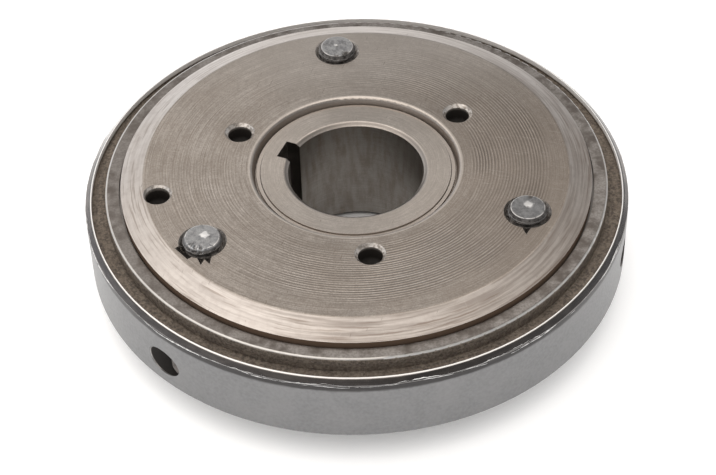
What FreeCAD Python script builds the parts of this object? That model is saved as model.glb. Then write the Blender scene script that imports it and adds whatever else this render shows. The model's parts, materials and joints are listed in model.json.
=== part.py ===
import FreeCAD, Part
import math
import os

# Flywheel hub with its starter one-way clutch. Millimetres, +Z up.
# The origin is on the crankshaft axis, level with the underside of the hub boss.
# One of the three bolts lies on +Y. Angles are degrees about +Z, measured from +X.

# ---- driving dimensions ------------------------------------------------------
PARTS_OF_THREE = 3
BOLT_ANGLES = [90.0, 210.0, 330.0]
ROLLER_ANGLES = [270.0, 30.0, 150.0]

# crankshaft bore and keyway
BORE_R = 14.0
BORE_CHAMFER = 0.8
BORE_CHAMFER_DROP = 0.65
BORE_EDGE_ROUNDING = 0.5
KEYWAY_WIDTH = 5.0
KEYWAY_REACH = 16.7
KEYWAY_ANGLE = 151.0

# hub disc, from the crankshaft outwards
HUB_BOSS_R = 20.0
HUB_BOSS_CHAMFER = 0.8
HUB_ROOT_FILLET = 1.5
HUB_LAND_TOP = 25.9
HUB_LAND_R = 19.6
HUB_STEP_TOP = 25.6
HUB_STEP_INNER_R = 19.75
HUB_STEP_R = 20.45
HUB_GROOVE_FLOOR = 25.1
HUB_GROOVE_R = 20.75
FACE_TOP = 27.0
FACE_INNER_R = 21.35
FACE_INNER_ROUNDING = 0.7
FACE_OUTER_R = 43.6
FACE_ROUNDING = 1.0
BEVEL_LOW = 25.0
DISC_R = 48.4
DISC_UNDERSIDE = 17.5

# holes in the disc's face
BOLT_CIRCLE_R = 37.5
BOLT_THREAD_R = 4.0
BOLT_SINK_R = 4.8
ROTOR_SCREW_CIRCLE_R = 26.5
ROTOR_SCREW_R = 2.5
ROTOR_SCREW_SINK_R = 3.15
LOCATING_CIRCLE_R = 41.0
LOCATING_ANGLE = -174.7
LOCATING_R = 2.5
LOCATING_SINK_R = 3.0
LOCATING_DEPTH = 7.0

# punch marks that lock the bolts, each a (bolt angle, direction seen from the bolt)
PUNCH_MARKS = [(210.0, 264.0), (210.0, 279.0), (330.0, 258.0)]
PUNCH_NEAR = 3.9
PUNCH_FAR = 6.7
PUNCH_WIDTH = 2.4
PUNCH_DEPTH = 1.0
# one chisel mark lies across its direction instead
CHISEL_MARK = (210.0, 214.0)
CHISEL_DISTANCE = 4.55
CHISEL_LENGTH = 4.2
CHISEL_WIDTH = 1.5
CHISEL_DEPTH = 0.7

# clutch housing, the outer ring
RIM_R = 56.0
RIM_BOTTOM = 6.8
RIM_BOTTOM_CHAMFER = 0.5
RIM_TOP = 22.2
RIM_LIP_INNER_R = 54.7
RIM_LIP_FLAT = 0.3
RIM_LIP_ROUNDING = 0.7
RIM_CORNER_DROP = 1.0
RIM_SIDE_ROUNDING = 0.3
GROOVE_FLOOR = 20.6
LEDGE_TOP = 23.85
LEDGE_R = 51.7
LEDGE_ROUNDING = 0.5
LEDGE_GAP = 0.45
LEDGE_GAP_DEPTH = 0.9
HOUSING_BORE_R = 29.5
HOUSING_BORE_CHAMFER = 0.5
PLATE_SEAT_R = 46.2
PLATE_TOP = 8.3

# the roller clutch
RACE_R = 28.9
ROLLER_R = 5.75
ROLLER_GAP_ABOVE = 0.15
ROLLER_CHAMFER = 0.5
WEDGE_OFFSET = 4.9
ROLLER_TRAVEL = 1.6
POCKET_CLEARANCE = 0.2
POCKET_SPARE = 0.4
SPRING_BORE_OFFSET = 36.8
SPRING_BORE_R = 3.1
SPRING_BORE_Z = 12.9
PLUNGER_R = 3.03
PLUNGER_LENGTH = 9.0
PLUNGER_NOSE = 1.8
PLUNGER_NOSE_CHAMFER = 0.3
PLUNGER_WALL = 0.7
PLUNGER_TO_ROLLER = 0.1
SPRING_R = 1.7
SPRING_WIRE_R = 0.3
SPRING_TURNS = 12
PLUG_LENGTH = 6.5
PLUG_DOME_RISE = 1.5

# clutch bolts, M8 with low socket heads
BOLT_HEAD_R = 6.5
BOLT_HEAD_HEIGHT = 5.0
BOLT_HEAD_SINK_R = 6.8
BOLT_SEAT = 12.3
BOLT_LENGTH = 16.0
BOLT_END_R = 3.5
BOLT_END_CHAMFER = 0.75
BOLT_DIMPLE_R = 0.6
BOLT_DIMPLE_DEPTH = 0.3
BOLT_CLEARANCE_R = 4.2
BOLT_SOCKET_FLATS = 5.0
BOLT_SOCKET_DEPTH = 2.7
BOLT_HEAD_CHAMFER = 0.4

# side plate and its countersunk M4 screws
PLATE_INNER_R = 29.8
PLATE_OUTER_R = 46.0
PLATE_BOLT_WINDOW_R = 7.1
PLATE_SCREW_CIRCLE_R = 40.5
PLATE_SCREW_FROM_BOLT = -30.0
PLATE_SCREW_R = 2.0
PLATE_SCREW_HEAD_R = 3.75
PLATE_SCREW_LENGTH = 8.0
PLATE_SCREW_SOCKET_FLATS = 2.5
PLATE_SCREW_SOCKET_DEPTH = 1.4

# ---- helpers -----------------------------------------------------------------
UP = FreeCAD.Vector(0, 0, 1)
OVERCUT = 1.0
EDGE_MATCH = 0.01


def vec(x, y, z):
    return FreeCAD.Vector(x, y, z)


def polar(radius, angle, z=0.0):
    turn = math.radians(angle)
    return vec(radius * math.cos(turn), radius * math.sin(turn), z)


def revolve(profile):
    """A closed (radius, height) outline turned about the Z axis."""
    points = [vec(r, 0, z) for r, z in profile]
    face = Part.Face(Part.makePolygon(points + points[:1]))
    return face.revolve(vec(0, 0, 0), UP, 360)


def round_edge(shape, edge_r, height, fillet_r):
    """The same solid with its circular edge of radius edge_r at that height rounded."""
    def is_the_edge(edge):
        box = edge.BoundBox
        errors = (box.XMax - edge_r, box.ZMin - height, box.ZLength)
        return max(map(abs, errors)) < EDGE_MATCH
    return shape.makeFillet(fillet_r, list(filter(is_the_edge, shape.Edges)))


def drill(radius, low, high, centre):
    return Part.makeCylinder(radius, high - low, vec(centre.x, centre.y, low))


def sink(mouth_r, hole_r, top, centre, down=True):
    """A 90 degree countersink whose mouth of radius mouth_r lies at height top."""
    depth = mouth_r - hole_r
    step = -1 if down else 1
    outer_z = top - step * OVERCUT
    inner_z = top + step * depth
    return cone_between(mouth_r + OVERCUT, hole_r, outer_z, inner_z, centre)


def cone_between(r_a, r_b, z_a, z_b, centre):
    if z_a > z_b:
        r_a, r_b, z_a, z_b = r_b, r_a, z_b, z_a
    return Part.makeCone(r_a, r_b, z_b - z_a, vec(centre.x, centre.y, z_a))


def hexagon_prism(flats, low, high, centre):
    corner = flats / math.sqrt(3)
    points = [centre + polar(corner, 60 * k) for k in range(6)]
    for point in points:
        point.z = low
    face = Part.Face(Part.makePolygon(points + points[:1]))
    return face.extrude(vec(0, 0, high - low))


def clutch_frame(angle):
    """Outward normal and spring direction of one roller's ramp."""
    return polar(1, angle), polar(1, angle + 90)


def ramp_point(angle, along, out, z=0.0):
    """A point given by its distance along the ramp and out from the crankshaft axis."""
    normal, ahead = clutch_frame(angle)
    point = normal * out + ahead * along
    point.z = z
    return point


# ---- sizes worked out from the driving ones ------------------------------------
ROLLER_CENTRE_R = RACE_R + ROLLER_R
ROLLER_ALONG = -WEDGE_OFFSET
ROLLER_OUT = math.sqrt(ROLLER_CENTRE_R ** 2 - WEDGE_OFFSET ** 2)
PLUNGER_TIP = ROLLER_ALONG - ROLLER_R - PLUNGER_TO_ROLLER
RIM_EXIT = -math.sqrt(RIM_R ** 2 - SPRING_BORE_OFFSET ** 2)
PLUG_EDGE = -math.sqrt(RIM_R ** 2 - (SPRING_BORE_OFFSET + SPRING_BORE_R) ** 2) + 0.2
PLUG_INNER = PLUG_EDGE + PLUG_LENGTH


# ---- hub disc ------------------------------------------------------------------
def keyway():
    corner = vec(0, -KEYWAY_WIDTH / 2, -OVERCUT / 2)
    block = Part.makeBox(KEYWAY_REACH, KEYWAY_WIDTH, FACE_TOP + OVERCUT, corner)
    block.rotate(vec(0, 0, 0), UP, KEYWAY_ANGLE)
    return block


def tetrahedron(corners):
    faces = []
    for left_out in range(4):
        points = corners[:left_out] + corners[left_out + 1:]
        faces.append(Part.Face(Part.makePolygon(points + points[:1])))
    solid = Part.Solid(Part.Shell(faces))
    solid.fix(1e-6, 1e-6, 1e-6)
    return solid


def at_bolt(tool, bolt_angle, direction):
    """Turns a tool drawn at a bolt's axis, pointing along +X, and sets it on the face."""
    tool.rotate(vec(0, 0, 0), UP, direction)
    tool.translate(polar(BOLT_CIRCLE_R, bolt_angle, FACE_TOP))
    return tool


def punch_mark(bolt_angle, direction):
    """A pointed dent, deepest at the bolt's countersink, that runs out away from the bolt."""
    half = PUNCH_WIDTH / 2
    near = [vec(PUNCH_NEAR, side, 0) for side in (-half, half)]
    corners = near + [vec(PUNCH_FAR, 0, 0), vec(PUNCH_NEAR, 0, -PUNCH_DEPTH)]
    return at_bolt(tetrahedron(corners), bolt_angle, direction)


def chisel_mark(bolt_angle, direction):
    """A V-shaped dent that lies across its direction, beside the bolt's countersink."""
    rise = OVERCUT
    spread = CHISEL_WIDTH / 2 * (1 + rise / CHISEL_DEPTH)
    side = -CHISEL_LENGTH / 2
    middle = CHISEL_DISTANCE
    points = [
        vec(middle - spread, side, rise),
        vec(middle + spread, side, rise),
        vec(middle, side, -CHISEL_DEPTH),
    ]
    wedge = Part.Face(Part.makePolygon(points + points[:1])).extrude(vec(0, CHISEL_LENGTH, 0))
    return at_bolt(wedge, bolt_angle, direction)


def hub_disc():
    outline = [
        (BORE_R, BORE_CHAMFER),
        (BORE_R, HUB_LAND_TOP - BORE_CHAMFER_DROP),
        (BORE_R + BORE_CHAMFER, HUB_LAND_TOP),
        (HUB_LAND_R, HUB_LAND_TOP),
        (HUB_STEP_INNER_R, HUB_GROOVE_FLOOR),
        (HUB_STEP_INNER_R, HUB_STEP_TOP),
        (HUB_STEP_R, HUB_STEP_TOP),
        (HUB_STEP_R, HUB_GROOVE_FLOOR),
        (HUB_GROOVE_R, HUB_GROOVE_FLOOR),
        (FACE_INNER_R, FACE_TOP),
        (FACE_OUTER_R, FACE_TOP),
        (DISC_R, BEVEL_LOW),
        (DISC_R, DISC_UNDERSIDE),
        (HUB_BOSS_R + HUB_ROOT_FILLET, DISC_UNDERSIDE),
        (HUB_BOSS_R, DISC_UNDERSIDE - HUB_ROOT_FILLET),
        (HUB_BOSS_R, HUB_BOSS_CHAMFER),
        (HUB_BOSS_R - HUB_BOSS_CHAMFER, 0),
        (BORE_R + BORE_CHAMFER, 0),
    ]
    cuts = [keyway()]
    for angle in BOLT_ANGLES:
        centre = polar(BOLT_CIRCLE_R, angle)
        cuts.append(drill(BOLT_THREAD_R, DISC_UNDERSIDE - OVERCUT, FACE_TOP + OVERCUT, centre))
        cuts.append(sink(BOLT_SINK_R, BOLT_THREAD_R, FACE_TOP, centre))
    for angle in ROLLER_ANGLES:
        centre = polar(ROTOR_SCREW_CIRCLE_R, angle)
        cuts.append(drill(ROTOR_SCREW_R, DISC_UNDERSIDE - OVERCUT, FACE_TOP + OVERCUT, centre))
        cuts.append(sink(ROTOR_SCREW_SINK_R, ROTOR_SCREW_R, FACE_TOP, centre))
        cuts.append(sink(ROTOR_SCREW_SINK_R, ROTOR_SCREW_R, DISC_UNDERSIDE, centre, down=False))
    locating = polar(LOCATING_CIRCLE_R, LOCATING_ANGLE)
    cuts.append(drill(LOCATING_R, FACE_TOP - LOCATING_DEPTH, FACE_TOP + OVERCUT, locating))
    cuts.append(sink(LOCATING_SINK_R, LOCATING_R, FACE_TOP, locating))
    cuts.append(chisel_mark(*CHISEL_MARK))
    for mark in PUNCH_MARKS:
        cuts.append(punch_mark(*mark))
    disc = round_edge(revolve(outline), FACE_OUTER_R, FACE_TOP, FACE_ROUNDING)
    disc = round_edge(disc, FACE_INNER_R, FACE_TOP, FACE_INNER_ROUNDING)
    disc = round_edge(disc, BORE_R + BORE_CHAMFER, HUB_LAND_TOP, BORE_EDGE_ROUNDING)
    return disc.cut(cuts)


# ---- clutch housing --------------------------------------------------------------
def roller_pocket(angle):
    """The obround pocket that one roller travels in, open to the housing's bore."""
    radius = ROLLER_R + POCKET_CLEARANCE
    back = ROLLER_ALONG - ROLLER_TRAVEL - POCKET_SPARE
    low = PLATE_TOP - OVERCUT / 4
    high = DISC_UNDERSIDE + OVERCUT / 4
    centres = [ramp_point(angle, along, ROLLER_OUT) for along in (back, ROLLER_ALONG)]
    ends = [drill(radius, low, high, centre) for centre in centres]
    corners = [
        ramp_point(angle, back, ROLLER_OUT - radius, low),
        ramp_point(angle, ROLLER_ALONG, ROLLER_OUT - radius, low),
        ramp_point(angle, ROLLER_ALONG, ROLLER_OUT + radius, low),
        ramp_point(angle, back, ROLLER_OUT + radius, low),
    ]
    middle = Part.Face(Part.makePolygon(corners + corners[:1])).extrude(vec(0, 0, high - low))
    return ends[0].fuse([ends[1], middle])


def along_ramp(angle, radius, start, end):
    """A cylinder on the spring bore's line, between two distances along the ramp."""
    ahead = clutch_frame(angle)[1]
    base = ramp_point(angle, start, SPRING_BORE_OFFSET, SPRING_BORE_Z)
    return Part.makeCylinder(radius, end - start, base, ahead)


def clutch_housing():
    corner_r = RIM_LIP_INNER_R + RIM_LIP_FLAT
    outline = [
        (HOUSING_BORE_R, PLATE_TOP + HOUSING_BORE_CHAMFER),
        (HOUSING_BORE_R, DISC_UNDERSIDE),
        (DISC_R, DISC_UNDERSIDE),
        (DISC_R, LEDGE_TOP - LEDGE_GAP_DEPTH),
        (DISC_R + LEDGE_GAP, LEDGE_TOP - LEDGE_GAP_DEPTH),
        (DISC_R + LEDGE_GAP, LEDGE_TOP),
        (LEDGE_R, LEDGE_TOP),
        (LEDGE_R, GROOVE_FLOOR),
        (RIM_LIP_INNER_R, GROOVE_FLOOR),
        (RIM_LIP_INNER_R, RIM_TOP),
        (corner_r, RIM_TOP),
        (RIM_R, RIM_TOP - RIM_CORNER_DROP),
        (RIM_R, RIM_BOTTOM + RIM_BOTTOM_CHAMFER),
        (RIM_R - RIM_BOTTOM_CHAMFER, RIM_BOTTOM),
        (PLATE_SEAT_R, RIM_BOTTOM),
        (PLATE_SEAT_R, PLATE_TOP),
        (HOUSING_BORE_R + HOUSING_BORE_CHAMFER, PLATE_TOP),
    ]
    cuts = []
    for angle in ROLLER_ANGLES:
        cuts.append(roller_pocket(angle))
        cuts.append(along_ramp(angle, SPRING_BORE_R, RIM_EXIT - 12, ROLLER_ALONG))
    for angle in BOLT_ANGLES:
        centre = polar(BOLT_CIRCLE_R, angle)
        cuts.append(drill(BOLT_CLEARANCE_R, RIM_BOTTOM, DISC_UNDERSIDE + OVERCUT, centre))
        cuts.append(drill(BOLT_HEAD_SINK_R, RIM_BOTTOM, BOLT_SEAT, centre))
    for screw in plate_screw_centres():
        cuts.append(drill(PLATE_SCREW_R, RIM_BOTTOM, RIM_BOTTOM + PLATE_SCREW_LENGTH, screw))
        cuts.append(sink(PLATE_SCREW_HEAD_R, PLATE_SCREW_R, RIM_BOTTOM, screw, down=False))
    ring = round_edge(revolve(outline), LEDGE_R, LEDGE_TOP, LEDGE_ROUNDING)
    ring = round_edge(ring, corner_r, RIM_TOP, RIM_LIP_ROUNDING)
    ring = round_edge(ring, RIM_R, RIM_TOP - RIM_CORNER_DROP, RIM_SIDE_ROUNDING)
    return ring.cut(cuts)


# ---- side plate and its screws ---------------------------------------------------
def plate_screw_centres():
    return [polar(PLATE_SCREW_CIRCLE_R, angle + PLATE_SCREW_FROM_BOLT) for angle in BOLT_ANGLES]


def side_plate():
    ring = revolve([
        (PLATE_INNER_R, RIM_BOTTOM),
        (PLATE_OUTER_R, RIM_BOTTOM),
        (PLATE_OUTER_R, PLATE_TOP),
        (PLATE_INNER_R, PLATE_TOP),
    ])
    low = RIM_BOTTOM - OVERCUT
    high = PLATE_TOP + OVERCUT
    cuts = []
    for angle in BOLT_ANGLES:
        cuts.append(drill(PLATE_BOLT_WINDOW_R, low, high, polar(BOLT_CIRCLE_R, angle)))
        corner = vec(0, -PLATE_BOLT_WINDOW_R, low)
        slot = Part.makeBox(BOLT_CIRCLE_R, 2 * PLATE_BOLT_WINDOW_R, high - low, corner)
        slot.rotate(vec(0, 0, 0), UP, angle)
        cuts.append(slot)
    for screw in plate_screw_centres():
        cuts.append(drill(PLATE_SCREW_R, low, high, screw))
        cuts.append(sink(PLATE_SCREW_HEAD_R, PLATE_SCREW_R, RIM_BOTTOM, screw, down=False))
    return ring.cut(cuts)


def plate_screw(centre):
    shank = drill(PLATE_SCREW_R, RIM_BOTTOM, RIM_BOTTOM + PLATE_SCREW_LENGTH, centre)
    head_height = PLATE_SCREW_HEAD_R - PLATE_SCREW_R
    head = cone_between(PLATE_SCREW_HEAD_R, PLATE_SCREW_R, RIM_BOTTOM, RIM_BOTTOM + head_height, centre)
    low = RIM_BOTTOM - OVERCUT
    socket = hexagon_prism(PLATE_SCREW_SOCKET_FLATS, low, RIM_BOTTOM + PLATE_SCREW_SOCKET_DEPTH, centre)
    return shank.fuse(head).cut(socket)


# ---- clutch bolts ------------------------------------------------------------------
def clutch_bolt(angle):
    """Low-head socket screw, put in from below; its end stands out of the disc's face."""
    end = BOLT_SEAT + BOLT_LENGTH
    head_low = BOLT_SEAT - BOLT_HEAD_HEIGHT
    bolt = revolve([
        (0, head_low),
        (BOLT_HEAD_R - BOLT_HEAD_CHAMFER, head_low),
        (BOLT_HEAD_R, head_low + BOLT_HEAD_CHAMFER),
        (BOLT_HEAD_R, BOLT_SEAT),
        (BOLT_THREAD_R, BOLT_SEAT),
        (BOLT_THREAD_R, end - BOLT_END_CHAMFER),
        (BOLT_END_R, end),
        (BOLT_DIMPLE_R, end),
        (0, end - BOLT_DIMPLE_DEPTH),
    ])
    socket_top = head_low + BOLT_SOCKET_DEPTH
    socket = hexagon_prism(BOLT_SOCKET_FLATS, head_low - OVERCUT, socket_top, vec(0, 0, 0))
    bolt = bolt.cut(socket)
    bolt.translate(polar(BOLT_CIRCLE_R, angle))
    return bolt


# ---- rollers, plungers, springs and plugs ---------------------------------------------
def roller(angle):
    low = PLATE_TOP + ROLLER_GAP_ABOVE
    high = DISC_UNDERSIDE - ROLLER_GAP_ABOVE
    body = revolve([
        (0, low),
        (ROLLER_R - ROLLER_CHAMFER, low),
        (ROLLER_R, low + ROLLER_CHAMFER),
        (ROLLER_R, high - ROLLER_CHAMFER),
        (ROLLER_R - ROLLER_CHAMFER, high),
        (0, high),
    ])
    body.translate(ramp_point(angle, ROLLER_ALONG, ROLLER_OUT))
    return body


def on_spring_bore(angle, profile):
    """A (radius, distance along the ramp) outline turned about the spring bore's line."""
    body = revolve(profile)
    body.rotate(vec(0, 0, 0), vec(0, 1, 0), 90)
    body.rotate(vec(0, 0, 0), UP, angle + 90)
    body.translate(ramp_point(angle, 0, SPRING_BORE_OFFSET, SPRING_BORE_Z))
    return body


def plunger(angle):
    back = PLUNGER_TIP - PLUNGER_LENGTH
    return on_spring_bore(angle, [
        (0, PLUNGER_TIP - PLUNGER_NOSE),
        (PLUNGER_R - PLUNGER_WALL, PLUNGER_TIP - PLUNGER_NOSE),
        (PLUNGER_R - PLUNGER_WALL, back),
        (PLUNGER_R, back),
        (PLUNGER_R, PLUNGER_TIP - PLUNGER_NOSE_CHAMFER),
        (PLUNGER_R - PLUNGER_NOSE_CHAMFER, PLUNGER_TIP),
        (0, PLUNGER_TIP),
    ])


def spring_plug(angle):
    """A plug pressed into the outer end of the spring bore, with a domed outer face."""
    dome_r = (SPRING_BORE_R ** 2 + PLUG_DOME_RISE ** 2) / (2 * PLUG_DOME_RISE)
    shank = on_spring_bore(angle, [
        (0, PLUG_EDGE - PLUG_DOME_RISE),
        (SPRING_BORE_R, PLUG_EDGE - PLUG_DOME_RISE),
        (SPRING_BORE_R, PLUG_INNER),
        (0, PLUG_INNER),
    ])
    centre = ramp_point(angle, PLUG_EDGE - PLUG_DOME_RISE + dome_r, SPRING_BORE_OFFSET, SPRING_BORE_Z)
    ball = Part.makeSphere(dome_r, centre)
    skirt = along_ramp(angle, SPRING_BORE_R, PLUG_EDGE, PLUG_INNER)
    return shank.common(ball.fuse(skirt))


def plunger_spring(angle):
    """A compression spring between the plug and the bottom of the plunger."""
    start = PLUG_INNER + SPRING_WIRE_R
    end = PLUNGER_TIP - PLUNGER_NOSE - SPRING_WIRE_R
    length = end - start
    path = Part.Wire(Part.makeHelix(length / SPRING_TURNS, length, SPRING_R).Edges)
    profile = Part.Wire(Part.makeCircle(SPRING_WIRE_R, vec(SPRING_R, 0, 0), vec(0, 1, 0)))
    coil = path.makePipeShell([profile], True, True)
    coil.rotate(vec(0, 0, 0), vec(0, 1, 0), 90)
    coil.rotate(vec(0, 0, 0), UP, angle + 90)
    coil.translate(ramp_point(angle, start, SPRING_BORE_OFFSET, SPRING_BORE_Z))
    return coil


# ---- all nodes -------------------------------------------------------------------------
def all_parts():
    parts = {
        "hub_disc": hub_disc(),
        "clutch_housing": clutch_housing(),
        "side_plate": side_plate(),
    }
    screws = plate_screw_centres()
    for k in range(PARTS_OF_THREE):
        label = k + 1
        parts[f"clutch_bolt_{label}"] = clutch_bolt(BOLT_ANGLES[k])
        parts[f"plate_screw_{label}"] = plate_screw(screws[k])
        parts[f"roller_{label}"] = roller(ROLLER_ANGLES[k])
        parts[f"plunger_{label}"] = plunger(ROLLER_ANGLES[k])
        parts[f"plunger_spring_{label}"] = plunger_spring(ROLLER_ANGLES[k])
        parts[f"spring_plug_{label}"] = spring_plug(ROLLER_ANGLES[k])
    return parts


def main():
    os.makedirs("parts", exist_ok=True)
    for name, shape in all_parts().items():
        shape.exportStep(f"parts/{name}.step")
        box = shape.BoundBox
        state = "valid" if shape.isValid() else "NOT VALID"
        print(name, len(shape.Solids), "solid", state, round(shape.Volume, 1), "mm3")
        print("    z from", round(box.ZMin, 2), "to", round(box.ZMax, 2))


main()
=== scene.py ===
import json
import math

import bmesh
import bpy
from mathutils import Matrix, Vector, noise


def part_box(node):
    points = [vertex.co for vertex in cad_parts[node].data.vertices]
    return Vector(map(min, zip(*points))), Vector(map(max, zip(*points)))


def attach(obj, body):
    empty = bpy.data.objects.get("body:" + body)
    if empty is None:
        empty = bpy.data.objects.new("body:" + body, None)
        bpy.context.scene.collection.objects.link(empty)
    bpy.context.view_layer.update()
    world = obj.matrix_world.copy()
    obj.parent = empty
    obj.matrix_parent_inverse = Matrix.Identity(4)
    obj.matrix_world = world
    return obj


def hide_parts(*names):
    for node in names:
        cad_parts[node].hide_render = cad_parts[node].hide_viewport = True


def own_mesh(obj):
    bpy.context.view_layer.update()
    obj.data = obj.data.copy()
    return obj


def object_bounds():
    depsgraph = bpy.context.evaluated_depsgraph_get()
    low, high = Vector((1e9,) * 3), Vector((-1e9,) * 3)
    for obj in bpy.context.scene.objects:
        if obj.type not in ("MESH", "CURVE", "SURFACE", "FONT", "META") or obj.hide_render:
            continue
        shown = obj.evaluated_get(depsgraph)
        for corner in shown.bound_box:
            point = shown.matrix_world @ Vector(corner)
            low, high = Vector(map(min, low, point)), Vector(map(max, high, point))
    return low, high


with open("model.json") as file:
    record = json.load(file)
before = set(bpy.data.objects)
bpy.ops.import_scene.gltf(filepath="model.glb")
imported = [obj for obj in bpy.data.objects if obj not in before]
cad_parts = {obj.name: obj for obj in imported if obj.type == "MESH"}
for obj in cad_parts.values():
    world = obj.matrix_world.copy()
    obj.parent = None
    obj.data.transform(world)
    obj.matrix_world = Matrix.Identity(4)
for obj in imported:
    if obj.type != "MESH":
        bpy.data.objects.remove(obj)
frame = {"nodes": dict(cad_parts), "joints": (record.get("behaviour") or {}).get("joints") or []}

# The looks of a small engine's flywheel hub with its starter one-way clutch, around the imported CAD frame.
# Metres, +Z up, in the frame's own coordinates: the hub's boss stands on Z = 0 and bolt 1 is towards +Y.
# Lengths written with MM, and the lengths given to the methods of Graph, are millimetres.
MM = 0.001
CAD_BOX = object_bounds()

# ---- dimensions shared with the CAD -------------------------------------------
BOLTS = {1: 90.0, 2: 210.0, 3: 330.0}  # each bolt's direction from the axis, in degrees
BOLT_CIRCLE_R = 37.5 * MM
RIM_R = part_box("clutch_housing")[1].x
RIM_TOP_EDGE = 21.2 * MM
THREAD_R = 3.97 * MM
THREAD_DEPTH = 0.7 * MM
THREAD_PITCH = 1.25 * MM
# the thread's depth is FLANK_TOP at its root, falls by FLANK_SLOPE over one pitch and is cut off at 0 and 1
FLANK_TOP = 1.35
FLANK_SLOPE = 3.2
HEAD_R = 6.5 * MM
HEAD_HEIGHT = 5.0 * MM
HEAD_CHAMFER = 0.4 * MM
SOCKET_FLATS = 5.0 * MM
SOCKET_DEPTH = 2.7 * MM
END_R = 3.5 * MM
END_CHAMFER = 0.75 * MM
SPRING_R = 1.7 * MM
WIRE_R = 0.3 * MM
SPRING_TURNS = 12

# radii of the disc's face and outer edge for its material, in millimetres
FACE_IN = 21.4
FACE_OUT = 43.6
DISC_OUT = 48.4

# near-black dents beside the bolts: (bolt, direction from it in degrees, distance, reach)
DENTS = [(2, 214.0, 4.5, 2.2), (2, 271.0, 4.9, 1.7), (3, 258.0, 5.3, 1.5)]

# ---- finish -------------------------------------------------------------------
NON_METAL_GLOSS = 0.12  # specular level; it shows only where dirt or scale makes the surface non-metallic
EDGE_SAMPLES = 4
CREVICE_SAMPLES = 6
PATH_SLOPE = 1.7  # how fast the tool's path runs up a wall, against its run across a face
NEAR_BLACK = (0.012, 0.010, 0.009)

# ---- mesh detail --------------------------------------------------------------
BOLT_SEGMENTS = 96
ROWS_PER_THREAD = 14
STEPS_PER_COIL = 28
WIRE_SIDES = 10
BURR_STEPS = 1800
BURR_SIDES = 6
FLOOR_SEGMENTS = 96

# how the bolts' ends were beaten
END_GRAIN = 900  # hammered dimples per metre
END_ROUGHNESS = 0.035 * MM
BITE_START = 0.62  # share of the thread's radius where a bite begins, and over which it sinks
BITE_EDGE = 0.12
DEEPEST = 1.3 * MM
# each blow: (direction from the bolt's axis, half width in degrees, depth in mm)
BITES = {1: [(262.0, 9.0, 0.12), (300.0, 16.0, 0.14)],
         2: [(220.0, 9.0, 0.3), (243.0, 8.0, 0.5), (262.0, 6.0, 0.4), (308.0, 7.0, 0.16)],
         3: [(70.0, 10.0, 0.08)]}

# the bright patch on each bolt's end, burnished metal with a painted glint: its centre, size and soft edge
# and the depth of the worn end, in millimetres, and how bright the whole end is
PATCHES = {1: ((-0.11, 0.46), 0.2, 0.3, 0.12, 1.05),
           2: ((0.52, 0.51), 0.7, 0.35, 0.75, 0.95),
           3: ((0.27, 0.73), 0.6, 0.6, 0.12, 0.70)}

# the beads of rolled-over metal on the rim; the scales are waves per radius of the rim
DRIFT_SCALE = 4.0
RAGGED_SCALE = 48.0
AMOUNT_SCALE = 5.0
AMOUNT_MEAN, AMOUNT_SWING = 0.25, 1.3
THINNEST = 0.01 * MM
# (name, seed, mean height, wander in height, thickness)
BURRS = [("rim_burr", 1.0, 20.95 * MM, 0.6 * MM, 0.18 * MM),
         ("rim_burr_fine", 5.0, 21.15 * MM, 0.5 * MM, 0.08 * MM)]

# ---- camera and studio --------------------------------------------------------
CAMERA_RANGE = 313.83 * MM
CAMERA_HEIGHT = 306.1 * MM
CAMERA_AZIMUTH = -95.0
CAMERA_TILT = 46.30
CAMERA_ROLL = -1.79
CAMERA_LENS = 102.9
FLOOR_GLOW = 0.34  # keeps the floor white away from the part
FLOOR_R = 3.0
FLOOR_GAP = 0.2 * MM
# the studio's walls and ceiling: (height of the direction, from the horizon at 0 to straight up at 1, colour)
SKY = [(0.0, (0.74, 0.76, 0.80)), (0.35, (0.60, 0.61, 0.62)), (0.62, (0.46, 0.44, 0.42)),
       (0.75, (0.50, 0.475, 0.45)), (0.9, (0.75, 0.71, 0.67))]
# how its strength changes towards the camera, and from -X to +X: (from, to, strength at from, strength at to)
CAMERA_SIDE = (0.72, 0.95, 1.0, 0.75)
LEFT_TO_RIGHT = (-0.25, 0.25, 1.32, 0.70)


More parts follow.
